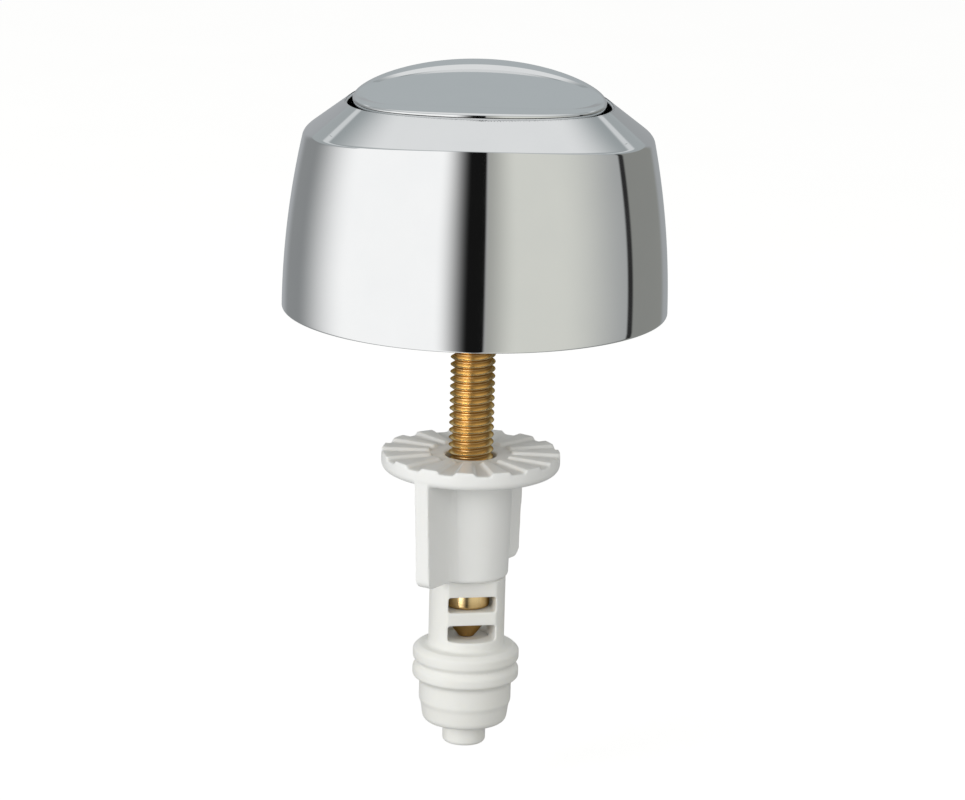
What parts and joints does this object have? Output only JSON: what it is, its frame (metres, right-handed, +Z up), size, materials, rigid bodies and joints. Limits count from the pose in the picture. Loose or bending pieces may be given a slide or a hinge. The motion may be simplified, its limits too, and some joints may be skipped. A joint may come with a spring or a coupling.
{
  "type": "push button cistern actuator",
  "caption": "Chromed dome flush button for a cistern lid, with a bored brass stud, a winged clamping nut and a windowed coupling whose tip drives the flush valve.",
  "frame": {"origin": "on the stud's axis, in the plane of the dome's rim, where it stands on the cistern lid", "axes": "+Z up along the stud to the button; -Y is the picture's front"},
  "size_m": [0.051, 0.051, 0.0906],
  "materials": {
    "chrome": "bright chrome plate, mirror polished",
    "white_plastic": "white moulded plastic, satin gloss",
    "natural_plastic": "natural milky moulded plastic, slightly translucent",
    "core_plastic": "white moulded plastic, matt",
    "brass": "bright turned brass",
    "steel": "plain stainless steel",
    "rubber": "black moulded rubber"
  },
  "bodies": {
    "housing": {"dome_shell": "chrome", "guide_core": "core_plastic", "core_screw_1": "steel", "core_screw_2": "steel", "core_screw_3": "steel", "threaded_stud": "brass", "stud_washer": "steel", "lock_nut": "brass", "bump_ring": "rubber", "return_spring": "steel"},
    "button": {"push_button": "chrome", "button_carrier": "core_plastic", "push_rod": "steel", "push_tip": "natural_plastic"},
    "clamp_nut": {"hand_nut": "white_plastic"},
    "plug": {"coupling": "natural_plastic"}
  },
  "joints": [
    {"name": "button_press", "type": "slide", "parent": "housing", "child": "button", "axis": [0, 0, -1], "range_m": [0, 0.005], "stiffness_N_per_m": 500, "springref_m": -0.004, "deforming": ["return_spring"]},
    {"name": "nut_travel", "type": "slide", "parent": "housing", "child": "clamp_nut", "axis": [0, 0, 1], "range_m": [0, 0.014]},
    {"name": "coupling_swivel", "type": "hinge", "parent": "housing", "child": "plug", "pos_m": [0, 0, -0.0418], "axis": [0, 0, 1], "continuous": true}
  ]
}
